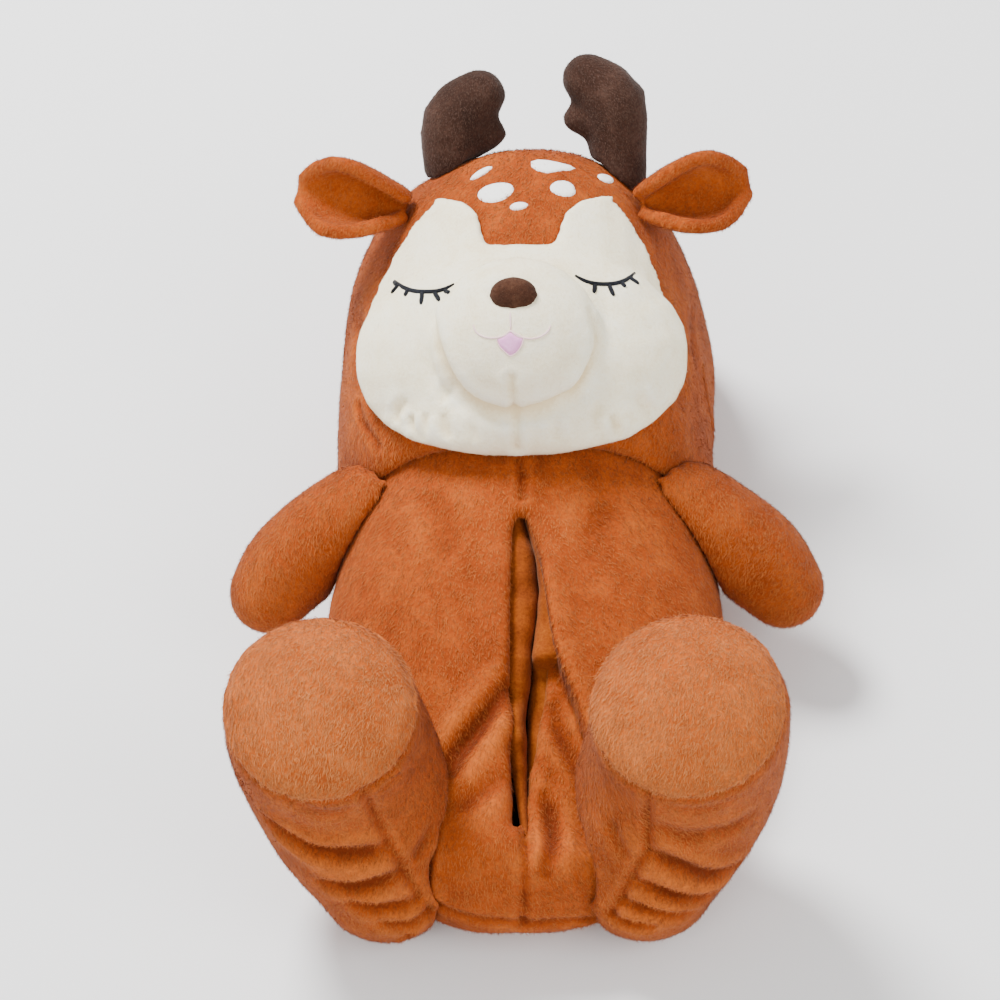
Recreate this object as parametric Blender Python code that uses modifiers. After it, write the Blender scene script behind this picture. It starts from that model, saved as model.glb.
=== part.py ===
"""A plush deer slipper that fits either foot, built as a soft-toy maker would sew it.

The deer lies on its back on the sole. Its body is the hollow upper, with the foot slit down the belly,
its head is the stuffed hood over the toes, and its legs stand up on both sides of the heel.
Metres, +Z up, +Y towards the toe. The origin is on the underside of the sole.
"""

import math

import bmesh
import bpy
from mathutils import Matrix, Vector

MM = 0.001

# Clearance between pieces that are sewn together
GAP = 0.3 * MM

# Whole slipper, from the back of the heel to the front of the toe
LENGTH = 301 * MM
HEEL_BACK = 142 * MM

# Sole and insole. The plush overhangs the ends of the sole.
SOLE_THICK = 9 * MM
SOLE_OVERHANG = 10 * MM
SOLE_EDGE_ROUND = 3 * MM
SOLE_MARGIN = 1.5 * MM
TOE_SPRING = 4 * MM
TOE_SPRING_RUN = 50 * MM
WAIST_RISE = 1 * MM
WAIST_START = 40 * MM
WAIST_END = 115 * MM
SOLE_RINGS = 30
INSOLE_THICK = 5 * MM
INSOLE_CLEARANCE = 0.5 * MM

# Upper
BODY_WIDTH = 142 * MM
CHEST_HEIGHT = 79 * MM
WALL = 6 * MM
HEEL_WALL = 14 * MM
TOE_WALL = 12 * MM
TUCK_HEIGHT = 15 * MM
END_CURL = 10 * MM
END_CURL_RUN = 12 * MM
TUCK_ANGLE = math.radians(32)
UPPER_FULLNESS = 2.35
POCKET_LENGTH = 262 * MM
SLIT_START = 14 * MM
SLIT_LENGTH = 126 * MM
SLIT_WIDTH = 13 * MM

# Head
HEAD_WIDTH = 132 * MM
HEAD_HEIGHT = 115 * MM
NECK = 152 * MM
HEAD_FULLNESS = 2.25
# How far the crown leans to the right in the photo and the cheeks sway to the left, and where along the
# head each is full
HEAD_LEAN = 1.5 * MM
LEAN_FULL = 0.70
HEAD_SWAY = 4 * MM
SWAY_FULL = 0.35

# Face, which is cut straight along its own normal
FACE_WIDTH = 116 * MM
FACE_TALL = 93 * MM
FACE_TILT = math.radians(40)
FACE_CROWN = 8 * MM
FACE_RISE = 3 * MM
FACE_DEPTH = 36 * MM
MUZZLE_WIDTH = 60 * MM
MUZZLE_TALL = 57 * MM
MUZZLE_DEPTH = 17 * MM
NOSE_WIDTH = 17 * MM
NOSE_TALL = 12.5 * MM
NOSE_THICK = 4 * MM
MUZZLE_LIFT = 4 * MM
CHEEK_DEPTH = 24 * MM

# Ears, antlers, arms and legs
EAR_LENGTH = 40 * MM
EAR_WIDTH = 35 * MM
EAR_THICK = 5 * MM
EAR_FOLD_ROOT = math.radians(150)
EAR_FOLD_TIP = math.radians(75)
ANTLER_LENGTH = 38 * MM
ANTLER_RADIUS = 11.5 * MM
ANTLER_RISE = math.radians(52)
# Both antlers lean over to the right, and the right one stands taller
ANTLER_LEAN = 3.5 * MM
RIGHT_ANTLER_RAISE = 5 * MM
ARM_LENGTH = 77 * MM
ARM_RADIUS = 17 * MM
LEG_LENGTH = 104 * MM
LEG_RADIUS = 32.5 * MM
PAD_CROWN = 9 * MM
PAD_EDGE = 3 * MM
FLOOR_CLEARANCE = 1.5 * MM

# Upper and toe pocket: distance from the heel as a share of POCKET_LENGTH, half width as a share of
# half BODY_WIDTH, height above the sole as a share of CHEST_HEIGHT
UPPER_ROWS = (
    # along, half_width, height
    (0.00, 0.66, 0.50),
    (0.10, 0.74, 0.56),
    (0.20, 0.86, 0.64),
    (0.32, 0.97, 0.74),
    (0.43, 1.00, 0.84),
    (0.54, 0.95, 0.95),
    (0.61, 0.87, 1.00),
    (0.70, 0.77, 0.90),
    (0.82, 0.73, 0.76),
    (0.93, 0.66, 0.64),
    (1.00, 0.60, 0.56),
)

# Head: distance from the neck as a share of the head's length, half width as a share of half HEAD_WIDTH,
# height above the sole as a share of HEAD_HEIGHT
HEAD_ROWS = (
    # along, half_width, height
    (0.00, 0.97, 0.80),
    (0.15, 1.00, 0.88),
    (0.35, 1.00, 0.96),
    (0.55, 1.00, 1.00),
    (0.75, 0.99, 1.00),
    (1.00, 0.95, 0.93),
)

# Right half of the face's outline, in shares of half FACE_WIDTH across and of half FACE_TALL up
FACE_OUTLINE = (
    # across, up
    (0.00, -0.92),
    (0.22, -0.91),
    (0.43, -0.87),
    (0.63, -0.82),
    (0.80, -0.71),
    (0.93, -0.54),
    (0.99, -0.36),
    (1.00, -0.15),
    (0.98, 0.07),
    (0.96, 0.27),
    (0.94, 0.46),
    (0.89, 0.66),
    (0.82, 0.86),
    (0.69, 1.00),
    (0.52, 1.03),
    (0.35, 0.98),
    (0.27, 0.89),
    (0.24, 0.78),
    (0.21, 0.64),
)

# Leg: place of each section from beside the heel up to the pad, in shares of LEG_LENGTH outwards from the
# middle, backwards from the back of the heel and up, with its two radii as shares of LEG_RADIUS
LEG_ROWS = (
    # outward, backward, up, sideways, lengthways
    (0.41, -0.22, 0.24, 0.80, 0.86),
    (0.47, -0.29, 0.39, 0.96, 1.00),
    (0.54, -0.35, 0.57, 1.04, 1.03),
    (0.58, -0.35, 0.79, 1.03, 1.02),
    (0.58, -0.31, 0.97, 1.00, 1.00),
)

# Arm: the same kind of table from the shoulder to the paw, in shares of ARM_LENGTH and ARM_RADIUS
ARM_ROWS = (
    # outward, backward, up, radius
    (0.00, 0.00, 0.00, 0.85),
    (0.17, 0.03, -0.05, 0.97),
    (0.36, 0.11, -0.15, 1.04),
    (0.53, 0.21, -0.26, 1.03),
    (0.63, 0.29, -0.35, 0.88),
)

# Antler: its beam and its tine, in shares of ANTLER_LENGTH and ANTLER_RADIUS
BEAM_ROWS = (
    # inward, along, radius
    (0.00, -0.32, 0.89),
    (0.00, 0.00, 0.91),
    (0.01, 0.34, 1.04),
    (0.05, 0.53, 1.02),
    (0.26, 0.70, 0.85),
)
TINE_ROWS = (
    (0.05, 0.29, 0.50),
    (0.23, 0.30, 0.58),
    (0.37, 0.34, 0.48),
)

# Foot slit in the belly: distance from its front end in shares of SLIT_LENGTH, and how far its two edges
# are from the middle in shares of SLIT_WIDTH
SLIT_ROWS = (
    # along, left, right
    (0.00, 0.00, 0.00),
    (0.08, 0.12, 0.30),
    (0.18, 0.16, 0.62),
    (0.30, 0.17, 0.83),
    (0.45, 0.17, 0.80),
    (0.62, 0.16, 0.66),
    (0.74, 0.12, 0.42),
    (0.88, 0.04, 0.30),
    (1.00, -0.08, 0.10),
)

# Foot pad: radius of each ring as a share of the leg's end, height above its edge as a share of PAD_CROWN
PAD_ROWS = (
    # radius, rise
    (1.00, 0.00),
    (0.90, 0.35),
    (0.62, 0.75),
    (0.25, 0.97),
)

# How far the rings that round the end of a limb turn over, in degrees
END_TURNS = (25, 50, 75)

# Material of the pieces whose names start so, with its colour and roughness
MATERIALS = (
    # piece, material, colour, roughness
    ("outsole", "sole_fabric", (0.20, 0.13, 0.09), 0.9),
    ("insole", "lining", (0.42, 0.19, 0.05), 0.95),
    ("upper", "brown_plush", (0.56, 0.13, 0.03), 0.95),
    ("head", "brown_plush", (0.56, 0.13, 0.03), 0.95),
    ("face", "cream_plush", (0.90, 0.84, 0.66), 0.95),
    ("nose", "nose_plush", (0.09, 0.04, 0.02), 0.9),
    ("ear", "brown_plush", (0.56, 0.13, 0.03), 0.95),
    ("antler", "dark_plush", (0.13, 0.07, 0.045), 0.95),
    ("arm", "brown_plush", (0.56, 0.13, 0.03), 0.95),
    ("leg", "brown_plush", (0.56, 0.13, 0.03), 0.95),
    ("foot_pad", "brown_plush", (0.56, 0.13, 0.03), 0.95),
)

# The first section of a loft is this share of its length in from its end, so that it has some width
END_SHARE = 0.004
UPPER_RINGS = 22
UPPER_SIDES = 26
HEAD_RINGS = 16
HEAD_SIDES = 30
LIMB_SIDES = 20
ARM_SIDES = 14
ANTLER_SIDES = 12
LIMB_STEPS = 8
BEAM_STEPS = 7
TINE_STEPS = 4
EAR_RINGS = 9
EAR_TURNS = 8


def catmull(rows, share):
    """The row of a table at a share from 0 to 1 of its length, on a smooth curve through its rows."""
    span = share * (len(rows) - 1)
    first = min(int(span), len(rows) - 2)
    part = span - first
    before, start, end, after = (
        rows[min(max(i, 0), len(rows) - 1)] for i in range(first - 1, first + 3)
    )
    return tuple(
        0.5
        * (
            2 * s
            + (e - b) * part
            + (2 * b - 5 * s + 4 * e - a) * part**2
            + (3 * s - b - 3 * e + a) * part**3
        )
        for b, s, e, a in zip(before, start, end, after)
    )


def row_at(rows, along):
    """The row of a table whose first column is along, by a smooth curve through its rows."""
    index = 0
    while index < len(rows) - 2 and along > rows[index + 1][0]:
        index += 1
    low, high = rows[index][0], rows[index + 1][0]
    part = min(max((along - low) / (high - low), 0.0), 1.0)
    return catmull(rows, (index + part) / (len(rows) - 1))


def rounded_end(distance, reach):
    """A quarter circle from 0 at an end to 1 at reach from it."""
    inside = 1 - min(max(distance / reach, 0.0), 1.0)
    return math.sqrt(1 - inside * inside)


def signed_power(value, power):
    return math.copysign(abs(value) ** power, value)


def arch(half_width, height, tuck, fullness, count):
    """Points (x, z) of a body section that stands on z 0 and tucks in above the sole."""
    points = []
    for index in range(count):
        angle = -TUCK_ANGLE + (math.pi + 2 * TUCK_ANGLE) * index / (count - 1)
        across = half_width * signed_power(math.cos(angle), 2 / fullness)
        if math.sin(angle) < 0:
            up = tuck + tuck * math.sin(angle) / math.sin(TUCK_ANGLE)
        else:
            up = tuck + (height - tuck) * math.sin(angle) ** (2 / fullness)
        points.append((across, up))
    return points


def heel_y():
    return -HEEL_BACK


def toe_y():
    return LENGTH - HEEL_BACK


def neck_y():
    return NECK - HEEL_BACK


def upper_size(distance):
    """Half width and height of the upper's outside at a distance from the heel."""
    along = min(max(distance / POCKET_LENGTH, 0.0), 1.0)
    _, half_width, height = row_at(UPPER_ROWS, along)
    to_toe = POCKET_LENGTH - distance
    plan = rounded_end(distance, 0.14 * POCKET_LENGTH) * rounded_end(to_toe, 0.15 * POCKET_LENGTH)
    side = rounded_end(distance, 0.06 * POCKET_LENGTH) * rounded_end(to_toe, 0.13 * POCKET_LENGTH)
    return half_width * plan * BODY_WIDTH / 2, height * side * CHEST_HEIGHT


def head_size(distance):
    """Half width and height of the head's outside at a distance from the neck."""
    length = LENGTH - NECK
    _, half_width, height = row_at(HEAD_ROWS, min(max(distance / length, 0.0), 1.0))
    to_toe = length - distance
    neck_round = 0.88 + 0.12 * rounded_end(distance, 0.12 * length)
    plan = neck_round * rounded_end(to_toe, 0.34 * length)
    side = neck_round * rounded_end(to_toe, 0.31 * length)
    return half_width * plan * HEAD_WIDTH / 2, height * side * HEAD_HEIGHT


def eased(share):
    """A share from 0 to 1 that starts and ends gently."""
    share = min(max(share, 0.0), 1.0)
    return share * share * (3 - 2 * share)


def lean_at(y, height_share):
    """How far a point of the head leans to the right, from its place along and its share of the height."""
    along = (y - neck_y()) / (LENGTH - NECK)
    lean = HEAD_LEAN * eased(along / LEAN_FULL) * height_share
    return lean - HEAD_SWAY * eased(along / SWAY_FULL) * math.sin(math.pi * min(max(height_share, 0.0), 1.0))


def mesh_object(name, mesh, collection):
    made = bpy.data.objects.new(name, mesh)
    collection.objects.link(made)
    return made


def finish_mesh(name, shape, collection):
    """The object of a bmesh, with its faces pointing out and its round stretches shaded smooth."""
    bmesh.ops.recalc_face_normals(shape, faces=shape.faces)
    mesh = bpy.data.meshes.new(name)
    shape.to_mesh(mesh)
    shape.free()
    mesh.shade_smooth()
    mesh.set_sharp_from_angle(angle=math.radians(45))
    return mesh_object(name, mesh, collection)


def loft(name, rings, collection):
    """A closed solid through rings of points, with a flat face at each end."""
    shape = bmesh.new()
    made = [[shape.verts.new(point) for point in ring] for ring in rings]
    for low, high in zip(made, made[1:]):
        for index in range(len(low)):
            after = (index + 1) % len(low)
            shape.faces.new((low[index], low[after], high[after], high[index]))
    shape.faces.new(list(reversed(made[0])))
    shape.faces.new(made[-1])
    return finish_mesh(name, shape, collection)


def along_shares(count):
    """Shares of a length for the sections of a loft, closer together towards its round ends."""
    span = 1 - 2 * END_SHARE
    return [END_SHARE + span * (0.5 - 0.5 * math.cos(math.pi * i / (count - 1))) for i in range(count)]


def body_loft(name, collection, size_at, ends, grow, drop, shape):
    """A loft of arches along +Y between two ends, standing on the sole. grow moves its outside out, or
    in where it is negative. drop carries a straight foot down, and without it the ends curl up."""
    length, fullness, lean, rings, sides = shape
    start, end = ends
    base = SOLE_THICK + GAP
    made = []
    for share in along_shares(rings):
        distance = length * share
        half_width, height = size_at(distance)
        place = start + (end - start) * share
        half_width = max(half_width + grow, WALL / 4)
        height = max(height + grow, WALL)
        points = arch(half_width, height, min(TUCK_HEIGHT, 0.4 * height), fullness, sides)
        if drop:
            foot = points[0][0]
            points = [(foot, -drop)] + points + [(-foot, -drop)]
        else:
            curl = END_CURL * (1 - rounded_end(min(distance, length - distance), END_CURL_RUN))
            points = [(x, z + curl * (1 - z / height)) for x, z in points]
        made.append([(x + lean * lean_at(place, z / height), place, base + z) for x, z in points])
    return loft(name, made, collection)


def upper_form(name, collection, grow=0.0, drop=0.0):
    """The outside of the upper and its toe pocket as a solid."""
    shape = (POCKET_LENGTH, UPPER_FULLNESS, 0, UPPER_RINGS, UPPER_SIDES)
    ends = (heel_y() - grow, heel_y() + POCKET_LENGTH + grow)
    return body_loft(name, collection, upper_size, ends, grow, drop, shape)


def foot_ends():
    """Where the space for the foot starts and ends."""
    return heel_y() + HEEL_WALL, heel_y() + POCKET_LENGTH - TOE_WALL


def foot_space(name, collection):
    """The inside of the upper, carried down through its open underside."""
    shape = (POCKET_LENGTH, UPPER_FULLNESS, 0, UPPER_RINGS, UPPER_SIDES)
    return body_loft(name, collection, upper_size, foot_ends(), -WALL, WALL, shape)


def head_form(name, collection, grow=0.0, drop=0.0):
    """The outside of the head as a solid."""
    shape = (LENGTH - NECK, HEAD_FULLNESS, 1, HEAD_RINGS, HEAD_SIDES)
    ends = (neck_y() - grow, toe_y() + grow)
    return body_loft(name, collection, head_size, ends, grow, drop, shape)


def boolean(target, other, operation="DIFFERENCE"):
    """Adds a Boolean to target and leaves the other object out of the build."""
    step = target.modifiers.new(f"{operation.lower()}_{other.name}", "BOOLEAN")
    step.operation = operation
    step.object = other
    other.hide_render = True
    other.display_type = "WIRE"


def foot_half_width(size, fullness):
    """Half width at the sole of an arch of that half width."""
    return size * math.cos(TUCK_ANGLE) ** (2 / fullness)


def sole_half_width(y):
    """Half width of what stands on the sole at a place along it."""
    upper_distance = y - heel_y()
    head_distance = y - neck_y()
    width = 0.0
    if upper_distance < POCKET_LENGTH:
        width = foot_half_width(upper_size(upper_distance)[0], UPPER_FULLNESS)
    if head_distance > 0:
        width = max(width, foot_half_width(head_size(head_distance)[0], HEAD_FULLNESS))
    return width


def outsole_half_width(y):
    """Half width of the sole, whose outline is that of what stands on it, a little shorter."""
    start, end = sole_ends()
    share = (y - start) / (end - start)
    return sole_half_width(heel_y() + share * LENGTH) + SOLE_MARGIN


def sole_ends():
    return heel_y() + SOLE_OVERHANG, toe_y() - SOLE_OVERHANG


def sole_underside(y):
    """Height of the sole's underside: flat under the heel and the ball of the foot, a little raised
    between them and sprung up at the toe."""
    start, end = sole_ends()
    spring = max(0.0, (y - (end - TOE_SPRING_RUN)) / TOE_SPRING_RUN)
    waist = (y - start - WAIST_START) / (WAIST_END - WAIST_START)
    rise = WAIST_RISE * math.sin(math.pi * waist) if 0 < waist < 1 else 0.0
    return TOE_SPRING * spring * spring + rise


def layer(name, collection, ends, count, section_at):
    """A flat layer lofted along +Y, symmetric across, from its right-hand points at each place."""
    start, end = ends
    rings = []
    for share in along_shares(count):
        y = start + (end - start) * share
        right = section_at(y)
        rings.append([(x, y, z) for x, z in right] + [(-x, y, z) for x, z in reversed(right)])
    return loft(name, rings, collection)


def make_outsole(parts):
    def section_at(y):
        half_width = outsole_half_width(y)
        bottom = sole_underside(y)
        shoulder = bottom + (SOLE_THICK - bottom) * 0.4
        inset = min(SOLE_EDGE_ROUND, 0.4 * half_width)
        return (half_width - inset, bottom), (half_width, shoulder), (half_width, SOLE_THICK)

    layer("outsole", parts, sole_ends(), SOLE_RINGS, section_at)


def make_insole(parts):
    start, end = foot_ends()
    inset = WALL + INSOLE_CLEARANCE
    bottom = SOLE_THICK + GAP

    def section_at(y):
        distance = (y - start) * POCKET_LENGTH / (end - start)
        half_width = foot_half_width(max(upper_size(distance)[0] - inset, WALL / 4), UPPER_FULLNESS)
        return (half_width, bottom), (half_width, bottom + INSOLE_THICK)

    ends = (start + INSOLE_CLEARANCE, end - INSOLE_CLEARANCE)
    layer("insole", parts, ends, UPPER_RINGS, section_at)


def make_upper(parts, cutters):
    upper = upper_form("upper", parts)
    boolean(upper, foot_space("foot_space", cutters))
    left, right = [], []
    for along, left_share, right_share in SLIT_ROWS:
        y = neck_y() - SLIT_START - along * SLIT_LENGTH
        left.append((-left_share * SLIT_WIDTH, y))
        right.append((right_share * SLIT_WIDTH, y))
    outline = left + list(reversed(right[1:-1]))
    top = SOLE_THICK + CHEST_HEIGHT + WALL
    bottom = SOLE_THICK + TUCK_HEIGHT + WALL
    slit = loft("slit", [[(x, y, bottom) for x, y in outline], [(x, y, top) for x, y in outline]], cutters)
    boolean(upper, slit)


def make_head(parts, cutters):
    head = head_form("head", parts)
    boolean(head, upper_form("upper_clearance", cutters, grow=GAP, drop=WALL))


def head_point(across, along, up):
    """A point of the head in shares of its half width, length and height, moved over by the lean."""
    y = neck_y() + along * (LENGTH - NECK)
    return Vector((across * HEAD_WIDTH / 2 + lean_at(y, up), y, SOLE_THICK + up * HEAD_HEIGHT))


def face_frame():
    """The matrix from the face's own across, up and out directions, with its middle on the head."""
    middle = head_point(0, 0.22, 0.93)
    return Matrix.Translation((0, middle.y, middle.z)) @ Matrix.Rotation(FACE_TILT, 4, "X")


def ball(name, collection, centre, radii, segments, rings):
    """A stuffed ball on the face, with its own radius along each direction of the face."""
    shape = bmesh.new()
    bmesh.ops.create_uvsphere(shape, u_segments=segments, v_segments=rings, radius=1)
    place = face_frame() @ Matrix.Translation(centre) @ Matrix.Diagonal((*radii, 1))
    bmesh.ops.transform(shape, matrix=place, verts=shape.verts)
    return finish_mesh(name, shape, collection)


def face_form(name, collection, grow):
    """The stuffed front of the head with its cheeks and muzzle, not yet trimmed to the face's outline."""
    form = head_form(name, collection, grow=FACE_RISE + grow)
    cheek_radii = (0.53 * FACE_WIDTH + grow, 0.50 * FACE_TALL + grow, CHEEK_DEPTH + FACE_CROWN + grow)
    cheeks = ball(f"{name}_cheeks", collection, (0, -0.16 * FACE_TALL, -CHEEK_DEPTH), cheek_radii, 24, 14)
    muzzle_radii = (MUZZLE_WIDTH / 2 + grow, MUZZLE_TALL / 2 + grow, MUZZLE_DEPTH + grow)
    muzzle = ball(f"{name}_muzzle", collection, (0, -0.04 * FACE_TALL, MUZZLE_LIFT), muzzle_radii, 20, 12)
    boolean(form, cheeks, "UNION")
    boolean(form, muzzle, "UNION")
    return form


def make_face(parts, cutters):
    half = [(u * FACE_WIDTH / 2, v * FACE_TALL / 2) for u, v in FACE_OUTLINE]
    outline = half + [(-u, v) for u, v in reversed(half[1:])]
    frame = face_frame()
    rings = [[frame @ Vector((u, v, depth)) for u, v in outline] for depth in (-FACE_DEPTH, 2 * FACE_DEPTH)]
    face = loft("face", rings, parts)
    boolean(face, face_form("face_front", cutters, 0.0), "INTERSECT")
    boolean(face, bpy.data.objects["head_clearance"])
    nose_centre = (0, 0.12 * FACE_TALL, MUZZLE_LIFT + 0.86 * MUZZLE_DEPTH)
    nose = ball("nose", parts, nose_centre, (NOSE_WIDTH / 2, NOSE_TALL / 2, NOSE_THICK), 16, 8)
    boolean(nose, face_form("nose_seat", cutters, GAP))


def ellipse(centre, ahead, lean, radii, sides):
    """A ring of points across ahead, whose first radius is as near to lean as it can be."""
    first = (lean - ahead * lean.dot(ahead)).normalized()
    second = ahead.cross(first)
    points = []
    for index in range(sides):
        turn = 2 * math.pi * index / sides
        across = first * radii[0] * math.cos(turn)
        points.append(centre + across + second * radii[1] * math.sin(turn))
    return points


def rounding(ring, way):
    """The rings that round off a limb before its first ring (way -1) or past its last one (way 1)."""
    centre, ahead, radii = ring
    added = []
    for degrees in END_TURNS:
        turn = math.radians(degrees)
        over = centre + ahead * way * min(radii) * math.sin(turn)
        added.append((over, ahead, (radii[0] * math.cos(turn), radii[1] * math.cos(turn))))
    return added


def limb(name, collection, stations, sides, lean, closed_end=True):
    """A stuffed tube through stations of a centre and two radii, round at its start and, where it has a
    closed end, at its end too."""
    last = len(stations) - 1
    rings = []
    for index, (centre, radii) in enumerate(stations):
        ahead = (stations[min(index + 1, last)][0] - stations[max(index - 1, 0)][0]).normalized()
        rings.append((centre, ahead, radii))
    before = list(reversed(rounding(rings[0], -1)))
    after = rounding(rings[-1], 1) if closed_end else []
    points = [ellipse(centre, ahead, lean, radii, sides) for centre, ahead, radii in before + rings + after]
    return loft(name, points, collection)


def smooth_rows(rows, steps):
    return [catmull(rows, index / (steps - 1)) for index in range(steps)]


def side_name(side):
    return "left" if side < 0 else "right"


def make_leg(side, parts):
    """One leg with its foot pad. side is -1 for the left leg and 1 for the right one."""
    lean = Vector((side * 0.8, 0.6, 0))
    stations = []
    for out, back, up, sideways, lengthways in smooth_rows(LEG_ROWS, LIMB_STEPS):
        centre = Vector((side * out * LEG_LENGTH, heel_y() - back * LEG_LENGTH, up * LEG_LENGTH))
        stations.append((centre, (sideways * LEG_RADIUS, lengthways * LEG_RADIUS)))
    leg = limb(f"leg_{side_name(side)}", parts, stations, LIMB_SIDES, lean, closed_end=False)
    for cutter in ("upper_clearance", "sole_clearance", "floor"):
        boolean(leg, bpy.data.objects[cutter])
    top, radii = stations[-1]
    up = (top - stations[-2][0]).normalized()
    rings = [ellipse(top + up * GAP, up, lean, radii, LIMB_SIDES)]
    for share, rise in PAD_ROWS:
        centre = top + up * (GAP + PAD_EDGE + rise * PAD_CROWN)
        rings.append(ellipse(centre, up, lean, (radii[0] * share, radii[1] * share), LIMB_SIDES))
    loft(f"foot_pad_{side_name(side)}", rings, parts)


def make_arm(side, parts):
    forward = neck_y() + 0.06 * ARM_LENGTH
    shoulder = Vector((side * 0.60 * BODY_WIDTH / 2, forward, SOLE_THICK + 0.65 * CHEST_HEIGHT))
    stations = []
    for out, back, up, share in smooth_rows(ARM_ROWS, LIMB_STEPS):
        centre = shoulder + Vector((side * out, -back, up)) * ARM_LENGTH
        stations.append((centre, (share * ARM_RADIUS, share * ARM_RADIUS)))
    arm = limb(f"arm_{side_name(side)}", parts, stations, ARM_SIDES, Vector((side * 0.2, 0.1, 1)))
    boolean(arm, bpy.data.objects["upper_clearance"])
    boolean(arm, bpy.data.objects["head_clearance"])


def make_antler(side, parts, cutters):
    inward = Vector((-side, 0, 0))
    forward = Vector((0, math.cos(ANTLER_RISE), math.sin(ANTLER_RISE)))
    root = head_point(side * 0.45, 0.77, 0.88) + Vector((ANTLER_LEAN, 0, 0))
    if side > 0:
        root += forward * RIGHT_ANTLER_RAISE

    def branch(name, rows, steps, collection):
        stations = []
        for in_share, along, share in smooth_rows(rows, steps):
            centre = root + (inward * in_share + forward * along) * ANTLER_LENGTH
            stations.append((centre, (share * ANTLER_RADIUS, share * ANTLER_RADIUS)))
        return limb(name, collection, stations, ANTLER_SIDES, Vector((0, 1, -1)))

    antler = branch(f"antler_{side_name(side)}", BEAM_ROWS, BEAM_STEPS, parts)
    tine = branch(f"tine_{side_name(side)}", TINE_ROWS, TINE_STEPS, cutters)
    boolean(antler, tine, "UNION")
    boolean(antler, bpy.data.objects["head_clearance"])


def ear_half_width(share):
    """Half width of the flat ear at a share of its length: narrow at the root, round at the tip."""
    belly = math.sin(math.pi * min(0.95 * share, 1.0)) ** 0.8
    return EAR_WIDTH / 2 * (0.42 + 0.62 * belly) * rounded_end(1.02 - share, 0.35)


def make_ear(side, parts):
    """A leaf folded along its middle, open towards the heel."""
    root = head_point(side * 0.63, 0.67, 0.85)
    outward = Vector((side * 0.96, 0.05, 0.20)).normalized()
    across = Vector((0, -0.72, 0.69)).cross(outward).normalized()
    open_way = outward.cross(across)
    shape = bmesh.new()
    grid = []
    for ring in range(EAR_RINGS):
        share = ring / (EAR_RINGS - 1)
        fold = EAR_FOLD_ROOT + (EAR_FOLD_TIP - EAR_FOLD_ROOT) * share
        radius = 1.25 * ear_half_width(share) / fold
        row = []
        for step in range(EAR_TURNS + 1):
            turn = (2 * step / EAR_TURNS - 1) * fold
            round_fold = across * radius * math.sin(turn) + open_way * radius * (1 - math.cos(turn))
            row.append(shape.verts.new(root + outward * share * EAR_LENGTH + round_fold))
        grid.append(row)
    for low, high in zip(grid, grid[1:]):
        for step in range(EAR_TURNS):
            shape.faces.new((low[step], low[step + 1], high[step + 1], high[step]))
    ear = finish_mesh(f"ear_{side_name(side)}", shape, parts)
    thick = ear.modifiers.new("thick", "SOLIDIFY")
    thick.thickness = EAR_THICK
    thick.offset = 0
    boolean(ear, bpy.data.objects["head_clearance"])


def make_clearances(cutters):
    """What the pieces round the body are cut by: the head and the sole, both with their clearance, and
    the floor."""
    head_form("head_clearance", cutters, grow=GAP)

    def section_at(y):
        half_width = outsole_half_width(y) + GAP
        return (half_width, -SOLE_THICK), (half_width, SOLE_THICK + GAP)

    start, end = sole_ends()
    layer("sole_clearance", cutters, (start - GAP, end + GAP), SOLE_RINGS, section_at)
    shape = bmesh.new()
    bmesh.ops.create_cube(shape, size=1)
    scale = Matrix.Diagonal((2 * LENGTH, 2 * LENGTH, 2 * LEG_RADIUS, 1))
    lift = Matrix.Translation((0, 0, FLOOR_CLEARANCE - LEG_RADIUS))
    bmesh.ops.transform(shape, matrix=lift @ scale, verts=shape.verts)
    finish_mesh("floor", shape, cutters)


def material(name, colour, roughness):
    """The material of that name, made the first time it is asked for."""
    if name in bpy.data.materials:
        return bpy.data.materials[name]
    made = bpy.data.materials.new(name)
    made.use_nodes = True
    shader = made.node_tree.nodes["Principled BSDF"]
    shader.inputs["Base Color"].default_value = (*colour, 1)
    shader.inputs["Roughness"].default_value = roughness
    shader.inputs["Metallic"].default_value = 0
    return made


def clear_scene():
    for obj in list(bpy.data.objects):
        bpy.data.objects.remove(obj)


def main():
    clear_scene()
    parts = bpy.data.collections.new("deer_slipper")
    cutters = bpy.data.collections.new("cutters")
    bpy.context.scene.collection.children.link(parts)
    bpy.context.scene.collection.children.link(cutters)
    make_outsole(parts)
    make_insole(parts)
    make_upper(parts, cutters)
    make_head(parts, cutters)
    make_clearances(cutters)
    make_face(parts, cutters)
    for side in (-1, 1):
        make_leg(side, parts)
        make_arm(side, parts)
        make_antler(side, parts, cutters)
        make_ear(side, parts)
    for obj in parts.objects:
        name, colour, roughness = next(row[1:] for row in MATERIALS if obj.name.startswith(row[0]))
        obj.data.materials.append(material(name, colour, roughness))


main()
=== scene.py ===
import math

import bmesh
import bpy
import numpy as np
from mathutils import Matrix, Vector
from mathutils.bvhtree import BVHTree
from mathutils.kdtree import KDTree


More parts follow.
